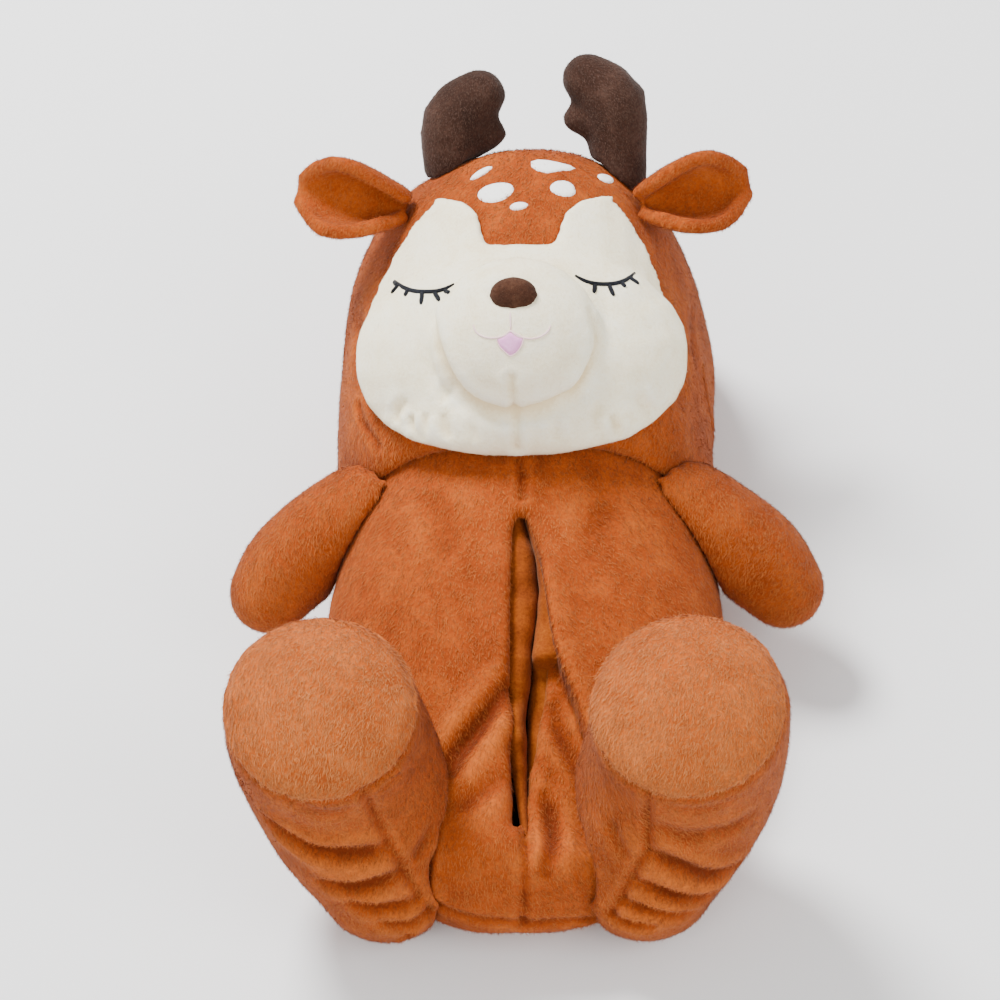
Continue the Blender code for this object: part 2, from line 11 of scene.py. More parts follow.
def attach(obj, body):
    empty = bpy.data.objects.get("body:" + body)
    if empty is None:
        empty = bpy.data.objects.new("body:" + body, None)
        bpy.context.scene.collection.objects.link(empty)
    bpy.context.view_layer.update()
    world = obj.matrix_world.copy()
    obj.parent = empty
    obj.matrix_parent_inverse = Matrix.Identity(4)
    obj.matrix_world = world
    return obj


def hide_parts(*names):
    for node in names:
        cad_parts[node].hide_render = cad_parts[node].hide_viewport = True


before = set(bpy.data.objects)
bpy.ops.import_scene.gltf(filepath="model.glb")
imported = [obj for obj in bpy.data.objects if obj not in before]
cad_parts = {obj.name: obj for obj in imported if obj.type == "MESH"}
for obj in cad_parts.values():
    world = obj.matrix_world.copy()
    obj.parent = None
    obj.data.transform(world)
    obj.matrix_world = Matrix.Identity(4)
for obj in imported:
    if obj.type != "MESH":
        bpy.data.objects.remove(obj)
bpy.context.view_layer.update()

MM = 0.001

# Camera of the photograph
AZIMUTH = math.radians(6)
ELEVATION = math.radians(51)
ROLL = math.radians(-5.2)
DISTANCE = 1.5
LOOK_AT = Vector((0, 0.005, 0.055))
PIXELS_PER_MM = 2.27
# one pixel of the photograph is this many pixels here, and the photograph's point that goes to the middle
ZOOM = 1.25
PHOTO_TARGET = (294, 500)
PHOTO_MIDDLE = (275, 481)


def camera_axes():
    back = Vector((
        math.sin(AZIMUTH) * math.cos(ELEVATION),
        -math.cos(AZIMUTH) * math.cos(ELEVATION),
        math.sin(ELEVATION),
    ))
    right = Vector((math.cos(AZIMUTH), math.sin(AZIMUTH), 0))
    up = back.cross(right)
    turned_right = right * math.cos(ROLL) + up * math.sin(ROLL)
    turned_up = up * math.cos(ROLL) - right * math.sin(ROLL)
    return turned_right, turned_up, back


RIGHT, UP, BACK = camera_axes()
EYE = LOOK_AT + BACK * DISTANCE


def photo_ray(x, y):
    scale = MM / PIXELS_PER_MM
    on_plane = LOOK_AT + RIGHT * (x - PHOTO_TARGET[0]) * scale - UP * (y - PHOTO_TARGET[1]) * scale
    return EYE, (on_plane - EYE).normalized()


def make_camera():
    data = bpy.data.cameras.new("photo_camera")
    camera = bpy.data.objects.new("photo_camera", data)
    bpy.context.scene.collection.objects.link(camera)
    matrix = Matrix((RIGHT, UP, BACK)).transposed().to_4x4()
    matrix.translation = EYE
    camera.matrix_world = matrix
    width = 1000 / (PIXELS_PER_MM * ZOOM) * MM
    data.sensor_width = 36
    data.lens = 36 * DISTANCE / width
    data.shift_x = (PHOTO_MIDDLE[0] - PHOTO_TARGET[0]) * ZOOM / 1000
    data.shift_y = -(PHOTO_MIDDLE[1] - PHOTO_TARGET[1]) * ZOOM / 1000
    data.clip_start = 0.02
    data.clip_end = 20
    bpy.context.scene.camera = camera
    return camera


make_camera()

# Mesh tools


def cad_mesh(*names):
    """Vertices and triangles of some CAD nodes, taken together, with equal points merged."""
    shape = bmesh.new()
    for name in names:
        shape.from_mesh(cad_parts[name].data)
    bmesh.ops.remove_doubles(shape, verts=shape.verts, dist=0.00002)
    return shape


def link(name, mesh):
    made = bpy.data.objects.new(name, mesh)
    bpy.context.scene.collection.objects.link(made)
    return made


def applied(obj):
    """Turns an object's modifiers into its mesh."""
    depsgraph = bpy.context.evaluated_depsgraph_get()
    mesh = bpy.data.meshes.new_from_object(obj.evaluated_get(depsgraph))
    old = obj.data
    obj.modifiers.clear()
    obj.data = mesh
    bpy.data.meshes.remove(old)
    return obj


def remeshed(name, nodes, voxel):
    mesh = bpy.data.meshes.new(name)
    shape = cad_mesh(*nodes)
    shape.to_mesh(mesh)
    shape.free()
    obj = link(name, mesh)
    step = obj.modifiers.new("voxels", "REMESH")
    step.mode = "VOXEL"
    step.voxel_size = voxel
    return applied(obj)


def points(obj):
    co = np.empty(len(obj.data.vertices) * 3)
    obj.data.vertices.foreach_get("co", co)
    return co.reshape(-1, 3)


def set_points(obj, co):
    obj.data.vertices.foreach_set("co", co.reshape(-1))
    obj.data.update()


def normals(obj):
    no = np.empty(len(obj.data.vertices) * 3)
    obj.data.vertex_normals.foreach_get("vector", no)
    return no.reshape(-1, 3)


def edges_of(obj):
    ed = np.empty(len(obj.data.edges) * 2, dtype=np.int64)
    obj.data.edges.foreach_get("vertices", ed)
    return ed.reshape(-1, 2)


def smooth_values(values, edges, count, rounds, share=0.5):
    """Averages each vertex value with its neighbours', rounds times over."""
    a, b = edges[:, 0], edges[:, 1]
    degree = np.bincount(a, minlength=count) + np.bincount(b, minlength=count)
    degree = np.maximum(degree, 1)
    out = np.array(values, dtype=float)
    for _ in range(rounds):
        if out.ndim == 1:
            total = np.bincount(a, out[b], count) + np.bincount(b, out[a], count)
            out = out * (1 - share) + share * total / degree
        else:
            for k in range(out.shape[1]):
                column = out[:, k].copy()
                total = np.bincount(a, column[b], count) + np.bincount(b, column[a], count)
                out[:, k] = column * (1 - share) + share * total / degree
    return out


def soften(obj, rounds):
    edges = edges_of(obj)
    co = points(obj)
    set_points(obj, smooth_values(co, edges, len(co), rounds, 0.5))


def noise(co, size, seed, octaves=2):
    """Smooth noise from -1 to 1 at points, with features about size across."""
    out = np.zeros(len(co))
    weight = 1.0
    total = 0.0
    for octave in range(octaves):
        cell = size / 2**octave
        out += weight * value_noise(co / cell + 17.3 * seed + 5.1 * octave, seed * 7 + octave)
        total += weight
        weight *= 0.5
    return out / total


def value_noise(p, seed):
    base = np.floor(p).astype(np.int64)
    part = p - base
    part = part * part * (3 - 2 * part)
    total = np.zeros(len(p))
    for dx in (0, 1):
        for dy in (0, 1):
            for dz in (0, 1):
                h = hashed(base[:, 0] + dx, base[:, 1] + dy, base[:, 2] + dz, seed)
                wx = part[:, 0] if dx else 1 - part[:, 0]
                wy = part[:, 1] if dy else 1 - part[:, 1]
                wz = part[:, 2] if dz else 1 - part[:, 2]
                total += h * wx * wy * wz
    return total


def hashed(x, y, z, seed):
    """A fixed number from -1 to 1 for each lattice point."""
    h = (x * 374761393 + y * 668265263 + z * 2147483647 + seed * 144269504) & 0xFFFFFFFF
    h = ((h ^ (h >> 13)) * 1274126177) & 0xFFFFFFFF
    h = h ^ (h >> 16)
    return (h & 0xFFFFFF) / float(0x7FFFFF) - 1.0


def curve_samples(nodes, step=0.0008):
    """Points every step along a smooth curve through nodes."""
    nodes = [Vector(n) for n in nodes]
    out = []
    last = len(nodes) - 1
    for i in range(last):
        p0, p1, p2, p3 = nodes[max(i - 1, 0)], nodes[i], nodes[i + 1], nodes[min(i + 2, last)]
        count = max(2, int((p2 - p1).length / step))
        for k in range(count):
            t = k / count
            out.append(0.5 * (2 * p1 + (p2 - p0) * t + (2 * p0 - 5 * p1 + 4 * p2 - p3) * t * t
                              + (3 * p1 - p0 - 3 * p2 + p3) * t**3))
    out.append(nodes[-1])
    return out


def project_line(tree, pixels, offset=0.0):
    """Where a line drawn on the photograph lies on a surface, as points in space."""
    flat = curve_samples([(x, y, 0) for x, y in pixels], step=3.0)
    found = []
    for p in flat:
        origin, way = photo_ray(p.x, p.y)
        hit, normal, _, _ = tree.ray_cast(origin, way)
        if hit is not None:
            found.append(hit + normal * offset)
    return found


def tree_of(*objs):
    """A BVH tree of several objects' meshes, for drawing on them."""
    verts, faces = [], []
    for obj in objs:
        start = len(verts)
        verts += [v.co.copy() for v in obj.data.vertices]
        faces += [[start + i for i in p.vertices] for p in obj.data.polygons]
    return BVHTree.FromPolygons(verts, faces)


def distance_to(co, line):
    """Distance of each point to a dense line, and how far along the line the nearest place is, 0 to 1."""
    tree = KDTree(len(line))
    for i, p in enumerate(line):
        tree.insert(p, i)
    tree.balance()
    dist = np.empty(len(co))
    along = np.empty(len(co))
    for i, p in enumerate(co):
        _, index, d = tree.find(p)
        dist[i] = d
        along[i] = index / max(len(line) - 1, 1)
    return dist, along


def near(co, line, reach):
    """Indices of the points within reach of a line's box."""
    arr = np.array([tuple(p) for p in line])
    low, high = arr.min(0) - reach, arr.max(0) + reach
    return np.nonzero(((co > low) & (co < high)).all(axis=1))[0]


def crease(height, co, line, depth, width, bulge=0.35, taper=True):
    """Adds to height a soft trough along a line, with fuller flesh on both sides of it."""
    if len(line) < 2:
        return
    line = curve_samples(line, 0.001) if len(line) < 200 else line
    index = near(co, line, width * 4)
    if not len(index):
        return
    dist, along = distance_to(co[index], line)
    fade = np.sin(np.pi * np.clip(along, 0, 1)) ** 0.5 if taper else 1.0
    trough = np.exp(-((dist / width) ** 2))
    shoulder = np.exp(-(((dist - 2.1 * width) / (1.2 * width)) ** 2))
    height[index] += (-depth * trough + depth * bulge * shoulder) * fade


def round_off(obj, rounds, grow=0.0):
    """Rounds off facets and edges over a wide reach and gives back the size that this takes away."""
    edges = edges_of(obj)
    co = points(obj)
    count = len(co)
    target = smooth_values(co, edges, count, rounds, 0.5)
    set_points(obj, target)
    out = normals(obj)
    loss = ((co - target) * out).sum(axis=1)
    loss = smooth_values(loss, edges, count, rounds, 0.5) + grow
    set_points(obj, target + out * loss[:, None])


def subdivided(obj, levels=1):
    step = obj.modifiers.new("finer", "SUBSURF")
    step.levels = levels
    step.render_levels = levels
    return applied(obj)


def tube(name, lines, radius, sides=6, flat=1.0):
    """Threads laid along lines of points."""
    shape = bmesh.new()
    for line in lines:
        if len(line) < 2:
            continue
        rings = []
        last = len(line) - 1
        for i, p in enumerate(line):
            ahead = (line[min(i + 1, last)] - line[max(i - 1, 0)]).normalized()
            side = ahead.cross(BACK).normalized()
            up = side.cross(ahead).normalized()
            share = i / last
            r = radius * (0.55 + 0.45 * min(1.0, 6 * min(share, 1 - share)))
            rings.append([
                shape.verts.new(p + side * r * math.cos(a) + up * r * flat * math.sin(a))
                for a in (2 * math.pi * k / sides for k in range(sides))
            ])
        for low, high in zip(rings, rings[1:]):
            for k in range(sides):
                n = (k + 1) % sides
                shape.faces.new((low[k], low[n], high[n], high[k]))
        shape.faces.new(list(reversed(rings[0])))
        shape.faces.new(rings[-1])
    bmesh.ops.recalc_face_normals(shape, faces=shape.faces)
    mesh = bpy.data.meshes.new(name)
    shape.to_mesh(mesh)
    shape.free()
    mesh.shade_smooth()
    return link(name, mesh)


def patch(name, tree, outline, lift, edge_lift=-0.0002, rings=7):
    """A thin sewn-on patch whose outline is drawn on the photograph, lying on a surface."""
    cx = sum(p[0] for p in outline) / len(outline)
    cy = sum(p[1] for p in outline) / len(outline)
    shape = bmesh.new()
    grid = []
    for ring in range(1, rings + 1):
        share = ring / rings
        row = []
        for x, y in outline:
            origin, way = photo_ray(cx + (x - cx) * share, cy + (y - cy) * share)
            hit, normal, _, _ = tree.ray_cast(origin, way)
            if hit is None:
                return None
            height = edge_lift + (lift - edge_lift) * (1 - share**6)
            row.append(shape.verts.new(hit + normal * height))
        grid.append(row)
    origin, way = photo_ray(cx, cy)
    hit, normal, _, _ = tree.ray_cast(origin, way)
    middle = shape.verts.new(hit + normal * lift)
    count = len(outline)
    for k in range(count):
        shape.faces.new((middle, grid[0][k], grid[0][(k + 1) % count]))
    for low, high in zip(grid, grid[1:]):
        for k in range(count):
            n = (k + 1) % count
            shape.faces.new((low[k], high[k], high[n], low[n]))
    mesh = bpy.data.meshes.new(name)
    bmesh.ops.recalc_face_normals(shape, faces=shape.faces)
    shape.to_mesh(mesh)
    shape.free()
    mesh.shade_smooth()
    return link(name, mesh)


def ellipse_outline(x, y, wide, tall, turn=0.0, wobble=0.0, count=28):
    out = []
    for k in range(count):
        a = 2 * math.pi * k / count
        r = 1 + wobble * math.sin(2 * a + x) + 0.5 * wobble * math.sin(3 * a + y)
        px = wide / 2 * r * math.cos(a)
        py = tall / 2 * r * math.sin(a)
        c, s = math.cos(math.radians(turn)), math.sin(math.radians(turn))
        out.append((x + px * c - py * s, y + px * s + py * c))
    return out


# Materials


def nodes_of(material):
    material.use_nodes = True
    return material.node_tree.nodes, material.node_tree.links


def rgb(r, g, b):
    """Linear colour from the eight-bit values that a picture shows."""
    def linear(v):
        v = v / 255
        return v / 12.92 if v <= 0.04045 else ((v + 0.055) / 1.055) ** 2.4
    return (linear(r), linear(g), linear(b), 1)


def plush(name, dark, base, light, sheen=0.15, tint=(1, 0.6, 0.35, 1), bump=0.35, grain=0.34):
    """Short-pile plush: fine tufts, patches where the nap lies the other way, and a soft sheen, with painted
    shade and painted highlight taken from a per point attribute.
    """
    material = bpy.data.materials.new(name)
    nodes, links = nodes_of(material)
    shader = nodes["Principled BSDF"]
    shader.inputs["Roughness"].default_value = 0.92
    shader.inputs["Specular IOR Level"].default_value = 0.12
    shader.inputs["Sheen Weight"].default_value = sheen
    shader.inputs["Sheen Roughness"].default_value = 0.45
    shader.inputs["Sheen Tint"].default_value = tint
    where = nodes.new("ShaderNodeTexCoord")
    tufts = nodes.new("ShaderNodeTexNoise")
    tufts.inputs["Scale"].default_value = 900
    tufts.inputs["Detail"].default_value = 3
    tufts.inputs["Roughness"].default_value = 0.65
    links.new(where.outputs["Object"], tufts.inputs["Vector"])
    lie = nodes.new("ShaderNodeTexNoise")
    lie.inputs["Scale"].default_value = 75
    lie.inputs["Detail"].default_value = 4
    lie.inputs["Roughness"].default_value = 0.6
    lie.inputs["Distortion"].default_value = 0.6
    links.new(where.outputs["Object"], lie.inputs["Vector"])
    broad = nodes.new("ShaderNodeTexNoise")
    broad.inputs["Scale"].default_value = 18
    broad.inputs["Detail"].default_value = 2
    links.new(where.outputs["Object"], broad.inputs["Vector"])
    ramp = nodes.new("ShaderNodeValToRGB")
    ramp.color_ramp.elements[0].position = 0.30
    ramp.color_ramp.elements[0].color = dark
    ramp.color_ramp.elements[1].position = 0.72
    ramp.color_ramp.elements[1].color = light
    middle = ramp.color_ramp.elements.new(0.50)
    middle.color = base
    mixed = nodes.new("ShaderNodeMath")
    mixed.operation = "MULTIPLY_ADD"
    mixed.inputs[1].default_value = grain
    links.new(tufts.outputs["Fac"], mixed.inputs[0])
    half = nodes.new("ShaderNodeMath")
    half.operation = "MULTIPLY_ADD"
    half.inputs[1].default_value = 0.80 - grain
    links.new(lie.outputs["Fac"], half.inputs[0])
    part = nodes.new("ShaderNodeMath")
    part.operation = "MULTIPLY"
    part.inputs[1].default_value = 0.20
    links.new(broad.outputs["Fac"], part.inputs[0])
    links.new(part.outputs[0], half.inputs[2])
    links.new(half.outputs[0], mixed.inputs[2])
    # per point painted shade and painted highlight, from creases, seams and the flap, shift the colour ramp
    # darker or lighter
    painted_light_and_tone = nodes.new("ShaderNodeAttribute")
    painted_light_and_tone.attribute_name = "painted_light_and_tone"
    toned = nodes.new("ShaderNodeMath")
    toned.operation = "MULTIPLY_ADD"
    toned.inputs[1].default_value = 0.28
    links.new(painted_light_and_tone.outputs["Fac"], toned.inputs[0])
    links.new(mixed.outputs[0], toned.inputs[2])
    links.new(toned.outputs[0], ramp.inputs["Fac"])
    links.new(ramp.outputs["Color"], shader.inputs["Base Color"])
    height = nodes.new("ShaderNodeMath")
    height.operation = "ADD"
    links.new(tufts.outputs["Fac"], height.inputs[0])
    links.new(lie.outputs["Fac"], height.inputs[1])
    step = nodes.new("ShaderNodeBump")
    step.inputs["Strength"].default_value = bump
    step.inputs["Distance"].default_value = 0.0012
    links.new(height.outputs[0], step.inputs["Height"])
    links.new(step.outputs["Normal"], shader.inputs["Normal"])
    return material


BROWN = plush("brown_plush_nap", rgb(104, 38, 8), rgb(150, 64, 16), rgb(186, 96, 34), sheen=0.1)
# A lighter copy of the brown plush for the foot pads: painted light where their nap catches the light.
BROWN_PAINTED_LIT = plush("brown_nap_painted_lit", rgb(126, 52, 14), rgb(170, 82, 28), rgb(206, 118, 56), sheen=0.12)
CREAM = plush("cream_plush_nap", rgb(238, 220, 178), rgb(253, 243, 212), rgb(255, 252, 232), sheen=0.06,
              tint=(1, 1, 0.95, 1), bump=0.22)
ANTLER = plush("antler_plush_nap", rgb(34, 20, 15), rgb(54, 34, 26), rgb(84, 60, 50), sheen=0.08,
               tint=(1, 0.9, 0.85, 1))
NOSE = plush("nose_plush_nap", rgb(40, 22, 14), rgb(62, 36, 24), rgb(92, 62, 46), sheen=0.1,
             tint=(1, 0.9, 0.85, 1))
LINING = plush("ochre_lining_nap", rgb(96, 38, 6), rgb(140, 66, 14), rgb(178, 98, 30), sheen=0.08,
               tint=(1, 0.85, 0.6, 1))
WHITE = plush("white_spot_nap", rgb(240, 236, 230), rgb(252, 250, 246), rgb(255, 255, 253), sheen=0.05,
              tint=(1, 1, 1, 1), bump=0.2)
TONGUE = plush("pink_satin", rgb(226, 140, 204), rgb(240, 168, 220), rgb(250, 200, 236), sheen=0.1,
               tint=(1, 0.9, 1, 1), bump=0.15)
MOUTH = plush("pale_pink_thread", rgb(232, 190, 190), rgb(246, 214, 212), rgb(252, 232, 230), sheen=0.05,
              tint=(1, 1, 1, 1), bump=0.15)
LASH = plush("black_thread", rgb(14, 14, 18), rgb(24, 25, 30), rgb(46, 48, 56), sheen=0.05,
             tint=(1, 1, 1, 1), bump=0.2)


def paint(obj, material):
    obj.data.materials.clear()
    obj.data.materials.append(material)
    obj.data.shade_smooth()


def declare(obj, nodes):
    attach(obj, "root")
    if nodes:
        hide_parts(*nodes)


# The pieces, from their CAD solids
PIECES = (
    # piece, CAD node, voxel in mm, smoothing, subdivisions, swell in mm, material, slot, fill
    ("body_shell", "upper", 1.5, 22, 0, 0.0, BROWN, "brown_plush", 0.5),
    ("head_hood", "head", 3.4, 12, 1, 2.0, BROWN, "brown_plush", 0.85),
    ("face_panel", "face", 1.2, 12, 0, 0.0, CREAM, "cream_plush", 0.85),
    ("ear_left_leaf", "ear_left", 1.5, 6, 1, 0.0, BROWN, "brown_plush", 0.4),
    ("ear_right_leaf", "ear_right", 1.5, 6, 1, 0.0, BROWN, "brown_plush", 0.4),
    ("antler_left_horn", "antler_left", 1.8, 8, 1, 0.8, ANTLER, "dark_plush", 0.9),
    ("antler_right_horn", "antler_right", 1.8, 8, 1, 0.8, ANTLER, "dark_plush", 0.9),
    ("arm_left_paw", "arm_left", 2.6, 8, 1, 2.0, BROWN, "brown_plush", 0.9),
    ("arm_right_paw", "arm_right", 2.6, 8, 1, 2.0, BROWN, "brown_plush", 0.9),
    ("leg_left_stuffed", "leg_left", 2.8, 8, 1, 2.5, BROWN, "brown_plush", 0.9),
    ("leg_right_stuffed", "leg_right", 2.8, 8, 1, 2.5, BROWN, "brown_plush", 0.9),
    ("foot_pad_left_round", "foot_pad_left", 1.8, 8, 1, 1.0, BROWN_PAINTED_LIT, "brown_plush", 0.8),
    ("foot_pad_right_round", "foot_pad_right", 1.8, 8, 1, 1.0, BROWN_PAINTED_LIT, "brown_plush", 0.8),
    ("sole_cushion", "outsole", 2.2, 3, 0, 0.0, LINING, "sole_fabric", 0.5),
    ("footbed", "insole", 2.0, 3, 0, 0.0, LINING, "lining", 0.5),
    ("nose_tip", "nose", 0.9, 4, 1, 0.0, NOSE, "nose_plush", 0.9),
)


def swell(obj, node, cap):
    """Fills a stuffed piece: cloth under pressure from inside. No point moves further than cap, and those
    next to another piece stay where they are."""
    before = points(obj)
    step = obj.modifiers.new("filling", "CLOTH")
    cloth = step.settings
    cloth.quality = 4
    cloth.mass = 0.2
    cloth.tension_stiffness = 12
    cloth.compression_stiffness = 12
    cloth.shear_stiffness = 4
    cloth.bending_stiffness = 0.6
    cloth.use_pressure = True
    cloth.uniform_pressure_force = 4
    cloth.effector_weights.gravity = 0
    step.collision_settings.use_collision = False
    step.point_cache.frame_start = 1
    step.point_cache.frame_end = 16
    for frame_number in range(1, 17):
        bpy.context.scene.frame_set(frame_number)
    applied(obj)
    move = points(obj) - before
    length = np.linalg.norm(move, axis=1)
    others = NEIGHBOURS[node]
    free = np.empty(len(before))
    for i, p in enumerate(before):
        found = others.find_nearest(p)
        free[i] = found[3] if found[0] is not None else 1.0
    allowed = cap * MM * np.clip((free - 1 * MM) / (6 * MM), 0, 1)
    share = np.minimum(1.0, allowed / np.maximum(length, 1e-9))
    edges = edges_of(obj)
    share = np.minimum(share, smooth_values(share, edges, len(share), 4))
    set_points(obj, before + move * share[:, None])
    bpy.context.scene.frame_set(1)


def neighbour_trees():
    """For each CAD node, a tree of all the other nodes' surfaces."""
    surfaces = {}
    for name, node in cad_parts.items():
        surfaces[name] = (
            [v.co.copy() for v in node.data.vertices],
            [tuple(p.vertices) for p in node.data.polygons],
        )
    trees = {}
    for name in surfaces:
        verts, faces = [], []
        for other, (other_verts, other_faces) in surfaces.items():
            if other != name:
                start = len(verts)
                verts += other_verts
                faces += [tuple(start + i for i in face) for face in other_faces]
        trees[name] = BVHTree.FromPolygons(verts, faces)
    return trees


NEIGHBOURS = neighbour_trees()
made = {}
for name, node, voxel, rounds, levels, cap, material, slot, fill in PIECES:
    obj = remeshed(name, [node], voxel * MM)
    round_off(obj, rounds)
    if cap:
        swell(obj, node, cap)
    if levels:
        subdivided(obj, levels)
    paint(obj, material)
    declare(obj, [node])
    made[name] = obj

# Creases, seams and swellings
# Lines are given as the photograph shows them, in its pixels, and are laid on the surface behind them.


def smoothstep(value):
    t = np.clip(value, 0, 1)
    return t * t * (3 - 2 * t)


def seen_at(co):
    """Where points in space appear in the photograph, in its pixels."""
    way = co - np.array(EYE)
    depth = -(way @ np.array(BACK))
    scale = PIXELS_PER_MM / MM * DISTANCE / depth
    x = PHOTO_TARGET[0] + scale * (way @ np.array(RIGHT))
    y = PHOTO_TARGET[1] - scale * (way @ np.array(UP))
    return x, y


def detail(obj, creases=(), seams=(), lump=0.5, lump_size=22, seed=1, fine=0.12):
    """Carves creases and seams into a piece and gives it the unevenness of its stuffing. Each crease is
    (line, depth, width) with depth and width in mm, and each seam is a line."""
    co = points(obj)
    out = normals(obj)
    tree = tree_of(obj)
    height = noise(co, lump_size * MM, seed) * lump * MM
    height += noise(co, 5 * MM, seed + 3) * fine * MM
    marks = np.zeros(len(co))
    for line, depth, width in creases:
        laid = project_line(tree, line)
        mark = np.zeros(len(co))
        crease(mark, co, laid, depth * MM, width * MM, bulge=0.45)
        height += mark
        marks += mark
    for line in seams:
        laid = project_line(tree, line)
        mark = np.zeros(len(co))
        crease(mark, co, laid, 1.3 * MM, 1.5 * MM, bulge=0.35, taper=False)
        height += mark
        marks += mark
    set_points(obj, co + out * height[:, None])
    # painted light: crease and seam troughs painted darker as shade, their swollen shoulders painted lighter
    # as highlight
    painted_light_and_tone = np.clip(marks / (2.5 * MM), -1, 0.6)
    set_painted_light(obj, painted_light_and_tone)
    return marks


def set_painted_light(obj, painted_light_and_tone):
    """How much lighter or darker the nap is painted at each point, from -1 to 1: painted shade below 0,
    painted highlight above 0.
    """
    layer = obj.data.attributes.get("painted_light_and_tone") or obj.data.attributes.new("painted_light_and_tone", "FLOAT", "POINT")
    layer.data.foreach_set("value", np.asarray(painted_light_and_tone, dtype=np.float32))


def get_painted_light(obj):
    layer = obj.data.attributes.get("painted_light_and_tone")
    values = np.zeros(len(obj.data.vertices), dtype=np.float32)
    if layer:
        layer.data.foreach_get("value", values)
    return values


# Body: the right flap is tucked in beside the slit, up to a ridge
RIDGE = ((308, 520), (316, 556), (322, 592), (330, 615), (340, 637), (350, 667), (356, 700), (359, 730))
SLIT_RIGHT = ((301, 500), (309, 525), (315, 555), (318, 590), (314, 620), (311, 645), (306, 667),
              (303, 692), (301, 717), (300, 742))


def line_x(line, y):
    """The x of a steep line in the photograph at each y."""
    ys = np.array([p[1] for p in line], dtype=float)
    xs = np.array([p[0] for p in line], dtype=float)
    return np.interp(y, ys, xs)


def tuck_right_flap(obj):
    """The right flap stands proud along its ridge and leans over the part that is tucked in. Gives back
    painted light: a painted shadow just beside the ridge, where the flap overhangs, and a painted highlight
    on the ridge.
    """
    co = points(obj)
    x, y = seen_at(co)
    ridge = line_x(RIDGE, y)
    edge = line_x(SLIT_RIGHT, y)
    along = smoothstep((y - 505) / 50) * smoothstep((780 - y) / 60)
    high = smoothstep((co[:, 2] - 0.028) / 0.02)
    drop = smoothstep((ridge - x) / 6) * (x > edge - 8) * along * high
    rise = np.exp(-(((x - ridge - 5) / 8) ** 2)) * along * high
    co[:, 2] += -9.5 * MM * drop + 3.0 * MM * rise
    co[:, 0] -= 2.6 * MM * np.exp(-(((x - ridge - 3) / 6) ** 2)) * along * high
    left = smoothstep((x - 245) / 40) * smoothstep((290 - x) / 6)
    left *= smoothstep((y - 500) / 50) * smoothstep((628 - y) / 30) * high
    co[:, 2] += 2.0 * MM * left
    set_points(obj, co)
    soften(obj, 1)
    # painted shadow just beside the ridge, under the flap's overhang, and a painted highlight on the raised
    # ridge
    shade = -0.9 * np.exp(-(((ridge - x - 3) / 4.5) ** 2)) * (x < ridge + 2) * along * high
    return shade + 0.25 * rise


body = made["body_shell"]
flap_painted_light = tuck_right_flap(body)
body_marks = detail(
    body,
    creases=(
        (((284, 626), (272, 642), (257, 662), (242, 682), (232, 704)), 3.6, 3.6),
        (((284, 700), (272, 707), (256, 717), (240, 730)), 1.4, 3.5),
        (((316, 640), (322, 664), (334, 690), (346, 716)), 2.2, 3.2),
        (((309, 712), (316, 735), (317, 757), (311, 784)), 2.2, 2.6),
        (((300, 660), (312, 690), (330, 720)), 1.2, 3.0),
        (((222, 472), (232, 500), (236, 530)), 0.9, 5.0),
        (((360, 470), (352, 500), (350, 530)), 0.9, 5.0),
    ),
    seams=(
        ((290, 449), (292, 464), (292, 479)),
        ((298, 757), (295, 780), (294, 805), (293, 822)),
        ((213, 796), (243, 812), (293, 818), (352, 815), (374, 797)),
        ((224, 700), (221, 740), (214, 796)),
        ((358, 690), (361, 730), (362, 771), (374, 797)),
    ),
    lump=0.5, seed=3,
)

# painted shade in the body's creases, seams and beside the flap's ridge, painted highlight on crests and on
# the ridge
set_painted_light(body, np.clip(body_marks / (2.5 * MM) + flap_painted_light, -1.2, 0.6))
detail(
    made["head_hood"],
    seams=(
        ((161, 405), (166, 420), (178, 438)),
        ((437, 378), (441, 400), (446, 428)),
    ),
    creases=(
        (((160, 330), (164, 350), (160, 372)), 0.8, 3.5),
        (((430, 330), (428, 350), (433, 376)), 0.8, 3.5),
    ),
    lump=0.5, seed=5,
)

face = made["face_panel"]


def blend_muzzle_top(obj):
    """The muzzle has an edge only at its sides and below, and runs into the forehead above."""
    co = points(obj)
    x, y = seen_at(co)
    share = smoothstep((344 - y) / 26) * smoothstep((y - 258) / 14) * smoothstep((86 - np.abs(x - 288)) / 20)
    share *= smoothstep((normals(obj) @ np.array(BACK) - 0.2) / 0.3)
    edges = edges_of(obj)
    smooth = smooth_values(co, edges, len(co), 90, 0.5)
    lift = smooth_values(((co - smooth) * normals(obj)).sum(axis=1), edges, len(co), 60, 0.5)
    smooth += normals(obj) * lift[:, None]
    set_points(obj, co + (smooth - co) * share[:, None])


def plump_muzzle(obj):
    co = points(obj)
    out = normals(obj)
    x, y = seen_at(co)
    r = np.sqrt(((x - 288) / 66) ** 2 + ((y - 360) / 54) ** 2)
    ball = smoothstep((1 - r) / 0.55)
    side = smoothstep((r - 1.0) / 0.25) * smoothstep((2.1 - r) / 0.7) * smoothstep((y - 320) / 60)
    set_points(obj, co + out * (ball * 1.6 * MM + side * 1.2 * MM)[:, None])


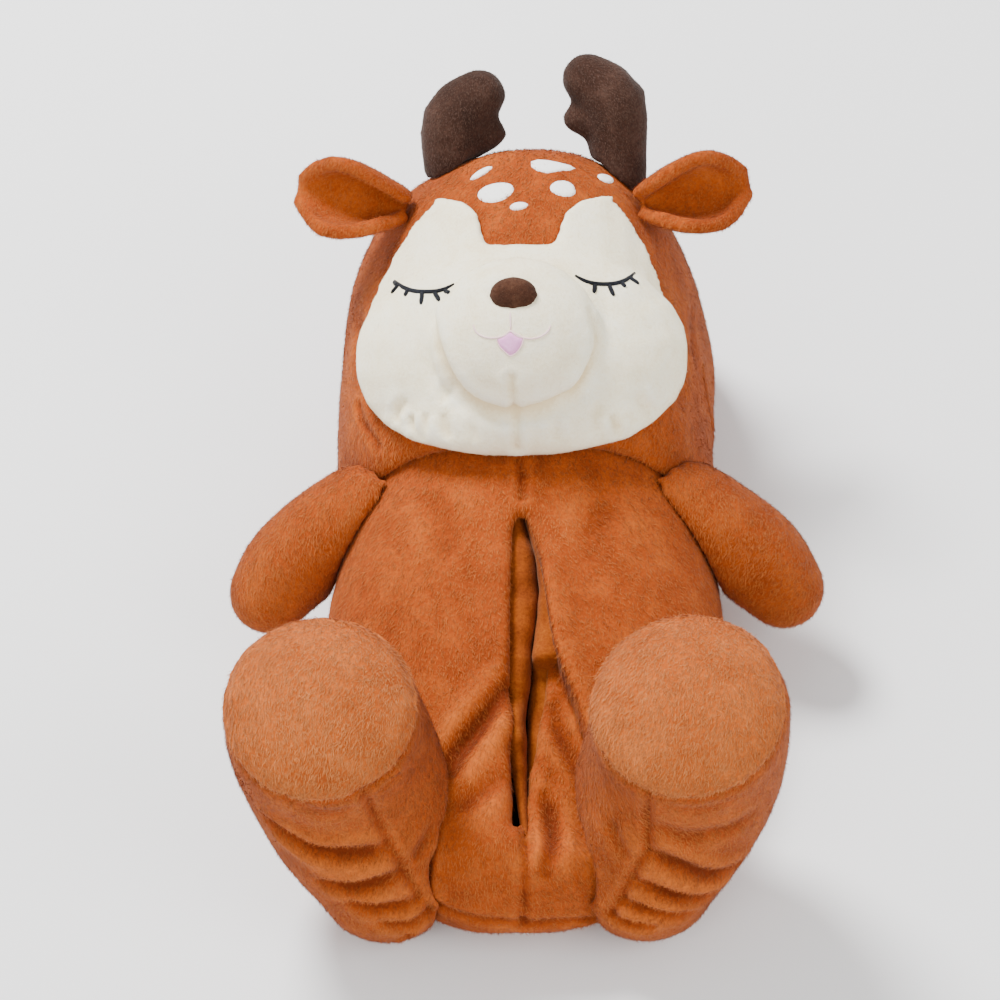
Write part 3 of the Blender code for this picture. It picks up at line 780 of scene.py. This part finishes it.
blend_muzzle_top(face)
plump_muzzle(face)
detail(
    face,
    creases=(
        (((224, 326), (222, 340), (224, 354), (230, 372), (240, 390), (253, 402), (270, 409), (287, 411),
          (306, 408), (325, 400), (338, 390), (348, 375), (354, 357), (352, 340), (346, 326)), 2.3, 2.6),
        (((332, 398), (340, 388), (347, 376)), 1.6, 2.0),
        (((200, 401), (193, 410), (192, 420)), 1.2, 1.8),
        (((204, 412), (205, 422), (208, 432)), 1.5, 1.5),
        (((216, 411), (214, 422), (213, 434)), 1.3, 1.6),
        (((229, 412), (231, 422), (235, 432)), 1.2, 1.8),
        (((238, 388), (232, 396), (228, 404)), 1.1, 2.0),
        (((364, 412), (368, 422), (372, 430)), 1.3, 1.6),
        (((356, 404), (352, 416), (352, 428)), 0.9, 2.0),
        (((384, 396), (390, 404), (396, 414)), 0.9, 2.0),
        (((252, 414), (254, 424), (256, 436)), 0.8, 1.8),
        (((318, 414), (320, 425), (322, 436)), 0.8, 1.8),
        (((262, 296), (256, 304), (252, 312)), 0.4, 3.0),
    ),
    seams=(((284, 384), (285, 397), (287, 415), (288, 440)),),
    lump=0.45, lump_size=16, seed=7, fine=0.08,
)

LEG_LEFT_SEAM = ((166, 714), (176, 734), (187, 757), (198, 776), (206, 790), (214, 802), (225, 812))
LEG_RIGHT_SEAM = ((396, 706), (393, 732), (392, 761), (380, 782), (372, 800), (362, 812))
detail(
    made["leg_left_stuffed"],
    creases=(
        (((84, 734), (106, 749), (128, 761), (152, 764), (172, 762), (187, 757)), 3.2, 2.8),
        (((128, 786), (152, 791), (170, 789), (188, 782), (198, 776)), 2.8, 2.4),
        (((152, 800), (172, 807), (192, 806), (212, 801)), 2.4, 2.2),
        (((176, 817), (200, 820), (212, 814), (224, 808)), 2.2, 2.0),
        (((198, 829), (220, 830), (240, 822)), 2.0, 2.0),
        (((170, 709), (180, 700), (194, 693)), 1.0, 1.4),
        (((176, 716), (186, 706), (198, 700)), 0.9, 1.4),
        (((100, 716), (130, 730), (158, 728)), 0.9, 3.2),
        (((206, 770), (214, 756), (222, 740)), 1.2, 2.6),
    ),
    seams=(LEG_LEFT_SEAM,),
    lump=0.6, seed=11,
)
detail(
    made["leg_right_stuffed"],
    creases=(
        (((393, 760), (414, 771), (436, 780), (452, 780), (472, 770)), 3.0, 2.6),
        (((380, 783), (398, 792), (416, 798), (434, 799), (452, 793)), 2.8, 2.4),
        (((372, 800), (390, 808), (410, 812), (430, 810)), 2.4, 2.2),
        (((362, 812), (380, 820), (402, 822)), 2.2, 2.0),
        (((396, 738), (424, 748), (456, 744), (480, 732)), 1.2, 3.0),
        (((400, 722), (430, 728), (470, 718)), 0.7, 2.6),
        (((378, 768), (368, 752), (364, 735)), 1.1, 2.6),
    ),
    seams=(LEG_RIGHT_SEAM,),
    lump=0.6, seed=12,
)
for name, seed in (("arm_left_paw", 21), ("arm_right_paw", 22)):
    detail(made[name], lump=0.6, seed=seed)


def crown_pad(obj):
    """Domes the round end of a leg a little more than its solid."""
    co = points(obj)
    out = normals(obj)
    middle = co.mean(axis=0)
    flat = np.linalg.norm((co - middle)[:, :2], axis=1)
    share = np.clip(flat / flat.max(), 0, 1)
    top = smoothstep((out[:, 2] - 0.2) / 0.5)
    co[:, 2] += 3.2 * MM * top * (1 - share**2)
    co[:, 2] -= 1.6 * MM * smoothstep((share - 0.86) / 0.14) * top
    set_points(obj, co)


for name, seed in (("foot_pad_left_round", 31), ("foot_pad_right_round", 32)):
    crown_pad(made[name])
    detail(made[name], lump=0.7, lump_size=26, seed=seed)
for name, seed in (("antler_left_horn", 41), ("antler_right_horn", 42)):
    detail(made[name], lump=0.5, lump_size=12, seed=seed)
for name, seed in (("ear_left_leaf", 51), ("ear_right_leaf", 52)):
    detail(made[name], lump=0.3, lump_size=14, seed=seed)

# Lining seen in the slit


def line_inside(obj):
    """Gives the lining's material to the shell's inside, whose faces look at another part of the shell."""
    tree = tree_of(obj)
    obj.data.materials.append(LINING)
    for face in obj.data.polygons:
        start = face.center + face.normal * 0.4 * MM
        hit, _, _, reach = tree.ray_cast(start, face.normal)
        if hit is not None and reach > 0.8 * MM and face.normal.z < 0.55:
            face.material_index = 1


line_inside(body)


# Two soft rolls of lining that lie in the slit, below its edges
SLIT_LEFT = ((292, 482), (287.5, 497), (286, 530), (286, 580), (285, 625), (286, 665), (289, 692),
             (294, 717), (296, 742), (297.5, 754))
SLIT_GAP = ((293, 484), (296, 500), (303, 525), (307, 555), (303, 585), (301, 605), (299, 630),
            (296, 658), (296.5, 690), (297.5, 717), (298, 742), (298, 754))
SLIT_EDGE = ((294, 482), (301, 500), (309, 525), (315, 555), (319, 570), (320, 592), (314, 620),
             (311, 645), (306, 667), (303, 692), (301, 717), (300, 742), (298.5, 754))


# across the roll: share of the way from the slit's edge to the gap, and height as a share of the depth
LIP_SECTION = ((-0.35, 0.5), (0.0, 0.34), (0.35, 0.22), (0.65, 0.30), (0.88, 0.62), (1.0, 1.1), (0.95, 2.0))


def slit_lip(name, outer, sign, depth):
    """A roll of lining between a slit edge and the gap in the middle. sign is -1 for the left one."""
    tree = tree_of(body)
    ys = np.linspace(486, 752, 64)
    outer_x = line_x(outer, ys)
    gap_x = line_x(SLIT_GAP, ys)
    shape = bmesh.new()
    rows = []
    wave = 0
    for y, edge, gap in zip(ys, outer_x, gap_x):
        origin, way = photo_ray(edge + sign * 7, y)
        hit = tree.ray_cast(origin, way)[0]
        if hit is None:
            continue
        level = hit.z
        wave += 1
        swing = 0.9 * math.sin(wave * 0.55 + sign) + 0.5 * math.sin(wave * 1.21)
        narrow = 0.7 + 0.9 * max(0.0, math.sin((y - 640) / 12)) * (640 < y < 678)
        inner = gap + sign * (narrow + 0.35 * swing)
        row = []
        for share, low in LIP_SECTION:
            x = edge + sign * 3 + (inner - edge - sign * 3) * share
            z = level - (low * depth + 3.0 + 0.5 * swing) * MM
            start, direction = photo_ray(x, y)
            reach = (z - start.z) / direction.z
            row.append(shape.verts.new(start + direction * reach))
        rows.append(row)
    for low_row, high_row in zip(rows, rows[1:]):
        for k in range(len(low_row) - 1):
            shape.faces.new((low_row[k], low_row[k + 1], high_row[k + 1], high_row[k]))
    bmesh.ops.recalc_face_normals(shape, faces=shape.faces)
    mesh = bpy.data.meshes.new(name)
    shape.to_mesh(mesh)
    shape.free()
    lip = link(name, mesh)
    thick = lip.modifiers.new("thick", "SOLIDIFY")
    thick.thickness = 1.2 * MM
    thick.offset = 0
    applied(lip)
    subdivided(lip, 1)
    paint(lip, LINING)
    declare(lip, ())
    return lip


slit_lip("slit_lining_left", SLIT_LEFT, -1, 7.0)
slit_lip("slit_lining_right", SLIT_EDGE, 1, 5.0)

# Embroidery, tongue and spots
face_tree = tree_of(face)


def embroidery(name, lines, radius, material, tree, lift=0.15, flat=0.7):
    laid = [project_line(tree, line, lift * MM) for line in lines]
    threads = tube(name, laid, radius * MM, flat=flat)
    paint(threads, material)
    declare(threads, ())
    return threads


LASHES_LEFT = (
    ((190.7, 305.8), (197.5, 311), (206, 314), (215, 314.7), (225, 314.2), (232.5, 312), (238.7, 308.4)),
    ((194, 309.5), (191.5, 312.5), (188.4, 316)),
    ((201.5, 313), (200.5, 315.5), (199, 318)),
    ((212.7, 314.5), (212.7, 319), (211.8, 324.5)),
    ((222.5, 314.5), (224.5, 318), (227, 321.8)),
    ((230.5, 313), (232.6, 314.6), (235, 315.2)),
    ((190.7, 305.8), (191.4, 307.6), (193, 309.4)),
)
LASHES_RIGHT = (
    ((335, 301.7), (340, 305), (347.5, 307.7), (357.5, 308.7), (367.5, 308), (376, 305), (382.7, 299.6)),
    ((350.7, 308), (350.6, 311.5), (349.8, 315.4)),
    ((362, 308.7), (363.6, 313), (366, 317.8)),
    ((372, 307), (373.5, 309.2), (375.4, 310.8)),
    ((378.7, 303.7), (381.5, 305.6), (386, 308.5)),
)
embroidery("lashes_left", LASHES_LEFT, 0.85, LASH, face_tree)
embroidery("lashes_right", LASHES_RIGHT, 0.85, LASH, face_tree)
SMILE = (
    ((253.7, 341), (255.8, 346.5), (262.5, 350.6), (272.5, 351.2), (280, 348.8), (283.7, 345)),
    ((283.7, 345), (288.7, 348.8), (297.5, 352), (307.5, 350.3), (313.7, 345.5), (315.3, 341)),
    ((283.2, 331), (283.4, 338), (283.7, 345)),
)
embroidery("smile_thread", SMILE, 0.34, MOUTH, face_tree)

TONGUE_OUTLINE = (
    (272.5, 352), (275, 351.2), (278, 349.5), (280.5, 347.6), (283, 346), (285.5, 347.4), (288, 349.4),
    (291, 350.8), (293.8, 351.4), (293.4, 354.5), (292, 358), (290, 361), (287.5, 363.6), (285, 365.2),
    (283, 365.8), (280.5, 364), (277.7, 361.4), (275.5, 359.4), (273.9, 357), (273, 354.6),
)
tongue = patch("tongue_patch", face_tree, TONGUE_OUTLINE, 0.7 * MM)
paint(tongue, TONGUE)
declare(tongue, ())
embroidery("tongue_edge", (TONGUE_OUTLINE + TONGUE_OUTLINE[:1],), 0.26, MOUTH, face_tree, lift=0.2)

head_tree = tree_of(made["head_hood"])
TOP_SPOT = (
    (298.8, 210), (304, 208.4), (313, 209), (323, 211), (333, 213.6), (336.5, 216), (331, 217.8),
    (323, 218.2), (313, 220), (304, 218), (299, 214.4),
)
SPOTS = (
    ellipse_outline(271.5, 235, 30, 16.5, -14, 0.04),
    ellipse_outline(260, 219.5, 21, 5, -30, 0.03),
    TOP_SPOT,
    ellipse_outline(325.5, 232, 23.5, 12.5, 8, 0.08),
    ellipse_outline(290, 246, 15, 7, -10, 0.05),
    ellipse_outline(359.5, 224, 14, 6.5, 20, 0.04),
)
for number, outline in enumerate(SPOTS, 1):
    spot = patch(f"forehead_spot_{number}", head_tree, outline, 0.7 * MM)
    if spot:
        paint(spot, WHITE)
        declare(spot, ())
    else:
        print("spot", number, "misses the head")


# Nap
# Short fibres that lie on the plush, combed towards the heel with patches that were brushed another way.


def fibre_material(name, dark, light):
    material = bpy.data.materials.new(name)
    nodes, links = nodes_of(material)
    shader = nodes["Principled BSDF"]
    shader.inputs["Roughness"].default_value = 0.85
    shader.inputs["Specular IOR Level"].default_value = 0.15
    shader.inputs["Sheen Weight"].default_value = 0.1
    # per point tone: painted shade at roots and in creases, painted highlight at tips and crests, and random
    # variation
    painted_light_and_tone = nodes.new("ShaderNodeAttribute")
    painted_light_and_tone.attribute_name = "painted_light_and_tone"
    ramp = nodes.new("ShaderNodeValToRGB")
    ramp.color_ramp.elements[0].position = 0.0
    ramp.color_ramp.elements[0].color = dark
    ramp.color_ramp.elements[1].position = 1.0
    ramp.color_ramp.elements[1].color = light
    links.new(painted_light_and_tone.outputs["Fac"], ramp.inputs["Fac"])
    links.new(ramp.outputs["Color"], shader.inputs["Base Color"])
    return material


def nap(name, obj, per_mm2, length, width, material, seed, skip=None, lie=0.72):
    """Fibres on a piece: one thin blade each, its root in the surface, with painted shade making it darker
    there than at its tip.
    """
    mesh = obj.data
    mesh.calc_loop_triangles()
    count = len(mesh.loop_triangles)
    corner = np.empty(count * 3, dtype=np.int64)
    mesh.loop_triangles.foreach_get("vertices", corner)
    corner = corner.reshape(-1, 3)
    polygon = np.empty(count, dtype=np.int64)
    mesh.loop_triangles.foreach_get("polygon_index", polygon)
    slots = np.empty(len(mesh.polygons), dtype=np.int64)
    mesh.polygons.foreach_get("material_index", slots)
    co = points(obj)
    out = normals(obj)
    painted_light_and_tone = get_painted_light(obj)
    a, b, c = co[corner[:, 0]], co[corner[:, 1]], co[corner[:, 2]]
    area = 0.5 * np.linalg.norm(np.cross(b - a, c - a), axis=1)
    area[slots[polygon] != 0] = 0
    middle = (a + b + c) / 3
    area[middle[:, 2] < 4 * MM] = 0
    if skip is not None:
        area[skip(middle)] = 0
    total = int(area.sum() * 1e6 * per_mm2)
    rng = np.random.default_rng(seed)
    pick = rng.choice(count, size=total, p=area / area.sum())
    u = rng.random((total, 2))
    flip = u.sum(axis=1) > 1
    u[flip] = 1 - u[flip]
    w = np.column_stack((1 - u.sum(axis=1), u[:, 0], u[:, 1]))
    tri = corner[pick]
    root = (co[tri] * w[:, :, None]).sum(axis=1)
    up = (out[tri] * w[:, :, None]).sum(axis=1)
    up /= np.linalg.norm(up, axis=1)[:, None]
    root_painted_light = (painted_light_and_tone[tri] * w).sum(axis=1)
    comb = np.array((0.0, -1.0, -0.45)) + np.column_stack((
        noise(root, 40 * MM, seed + 1) * 0.9,
        noise(root, 45 * MM, seed + 2) * 0.5,
        noise(root, 35 * MM, seed + 3) * 0.5,
    ))
    comb += rng.normal(0, 0.42, (total, 3))
    comb -= up * (comb * up).sum(axis=1)[:, None]
    comb /= np.maximum(np.linalg.norm(comb, axis=1), 1e-6)[:, None]
    rise = np.clip(rng.normal(1 - lie, 0.12, total), 0.08, 0.9)
    way = comb * np.sqrt(1 - rise**2)[:, None] + up * rise[:, None]
    side = np.cross(way, up)
    side /= np.maximum(np.linalg.norm(side, axis=1), 1e-6)[:, None]
    reach = length * MM * rng.uniform(0.65, 1.2, total)
    half = width * MM / 2 * rng.uniform(0.7, 1.2, total)
    root = root - up * 0.12 * MM
    verts = np.empty((total, 3, 3))
    verts[:, 0] = root - side * half[:, None]
    verts[:, 1] = root + side * half[:, None]
    verts[:, 2] = root + way * reach[:, None]
    fibres = bpy.data.meshes.new(name)
    fibres.vertices.add(total * 3)
    fibres.vertices.foreach_set("co", verts.reshape(-1))
    fibres.loops.add(total * 3)
    fibres.loops.foreach_set("vertex_index", np.arange(total * 3))
    fibres.polygons.add(total)
    fibres.polygons.foreach_set("loop_start", np.arange(0, total * 3, 3))
    fibres.update(calc_edges=True)
    # fibre tone: the piece's painted shade and highlight at the root, plus random variation and patches of
    # the nap
    shade = 0.40 + 0.35 * root_painted_light + rng.normal(0, 0.09, total)
    shade += 0.13 * noise(root, 28 * MM, seed + 5) + 0.05 * noise(root, 7 * MM, seed + 6)
    # painted shade inside the pile: root darker, tip lighter
    values = np.column_stack((shade - 0.16, shade - 0.16, shade + 0.30))
    layer = fibres.attributes.new("painted_light_and_tone", "FLOAT", "POINT")
    layer.data.foreach_set("value", np.clip(values, 0, 1).astype(np.float32).reshape(-1))
    made_nap = link(name, fibres)
    fibres.materials.append(material)
    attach(made_nap, "root")
    return made_nap


BROWN_FIBRE = fibre_material("brown_fibres", rgb(92, 32, 6), rgb(204, 112, 46))
# lighter copy of the brown fibres for the foot pads: painted light where their nap catches the light
BROWN_FIBRE_PAINTED_LIT = fibre_material("brown_fibres_painted_lit", rgb(108, 42, 10), rgb(222, 138, 74))
CREAM_FIBRE = fibre_material("cream_fibres", rgb(232, 214, 170), rgb(255, 253, 236))
ANTLER_FIBRE = fibre_material("antler_fibres", rgb(28, 16, 12), rgb(102, 76, 64))
NOSE_FIBRE = fibre_material("nose_fibres", rgb(30, 16, 10), rgb(104, 74, 56))
NAPS = (
    # piece, fibres for each square mm, length and width in mm, material
    ("body_shell", 1.4, 2.2, 0.34, BROWN_FIBRE),
    ("head_hood", 1.8, 2.2, 0.34, BROWN_FIBRE),
    ("leg_left_stuffed", 2.4, 2.2, 0.34, BROWN_FIBRE),
    ("leg_right_stuffed", 2.4, 2.2, 0.34, BROWN_FIBRE),
    ("arm_left_paw", 2.4, 2.2, 0.34, BROWN_FIBRE),
    ("arm_right_paw", 2.4, 2.2, 0.34, BROWN_FIBRE),
    ("foot_pad_left_round", 2.8, 2.3, 0.34, BROWN_FIBRE_PAINTED_LIT),
    ("foot_pad_right_round", 2.8, 2.3, 0.34, BROWN_FIBRE_PAINTED_LIT),
    ("ear_left_leaf", 2.6, 1.8, 0.30, BROWN_FIBRE),
    ("ear_right_leaf", 2.6, 1.8, 0.30, BROWN_FIBRE),
    ("antler_left_horn", 3.0, 1.3, 0.24, ANTLER_FIBRE),
    ("antler_right_horn", 3.0, 1.3, 0.24, ANTLER_FIBRE),
    ("face_panel", 2.0, 1.1, 0.22, CREAM_FIBRE),
    ("nose_tip", 6.0, 0.7, 0.16, NOSE_FIBRE),
)


def hidden_from_outside(obj):
    """Tells which places of a piece face another piece closely, where no fibre shows."""
    others = tree_of(*[other for other in made.values() if other is not obj])

    def test(middles):
        close = np.zeros(len(middles), dtype=bool)
        for i, place in enumerate(middles):
            found = others.find_nearest(Vector(place), 1.1 * MM)
            close[i] = found[0] is not None
        return close

    return test


naps = {}
for number, (name, per_mm2, length, width, material) in enumerate(NAPS):
    skip = None if name in ("body_shell", "face_panel") else hidden_from_outside(made[name])
    fuzz = nap(f"nap_{name}", made[name], per_mm2, length, width, material, 100 + number, skip)
    naps[fuzz.name] = fuzz

# Stage
floor_mesh = bpy.data.meshes.new("studio_floor")
floor_shape = bmesh.new()
bmesh.ops.create_grid(floor_shape, x_segments=4, y_segments=4, size=4)
bmesh.ops.translate(floor_shape, verts=floor_shape.verts, vec=(0, 0, -0.0002))
floor_shape.to_mesh(floor_mesh)
floor_shape.free()
floor = link("studio_floor", floor_mesh)
floor_material = bpy.data.materials.new("pale_floor")
floor_nodes, floor_links = nodes_of(floor_material)
floor_nodes["Principled BSDF"].inputs["Base Color"].default_value = (0.9, 0.9, 0.9, 1)
floor_nodes["Principled BSDF"].inputs["Roughness"].default_value = 0.8
floor_mesh.materials.append(floor_material)

world = bpy.data.worlds.new("studio")
bpy.context.scene.world = world
world.use_nodes = True
world.node_tree.nodes["Background"].inputs["Color"].default_value = (1, 1, 1, 1)
world.node_tree.nodes["Background"].inputs["Strength"].default_value = 0.8


def area_light(name, place, size, power):
    data = bpy.data.lights.new(name, "AREA")
    data.shape = "DISK"
    data.size = size
    data.energy = power
    light = bpy.data.objects.new(name, data)
    bpy.context.scene.collection.objects.link(light)
    light.location = place
    light.rotation_euler = (Vector((0, 0, 0.05)) - Vector(place)).to_track_quat("-Z", "Y").to_euler()
    return light


area_light("key", (-0.5, 0.65, 1.25), 0.5, 42)
area_light("fill", (0.9, -0.6, 0.9), 0.9, 9)
area_light("front", (-0.4, -1.1, 0.9), 0.9, 7)

triangles = {o.name: sum(len(p.vertices) - 2 for p in o.data.polygons) for o in (made | naps).values()}
print("triangles", sum(triangles.values()), triangles)
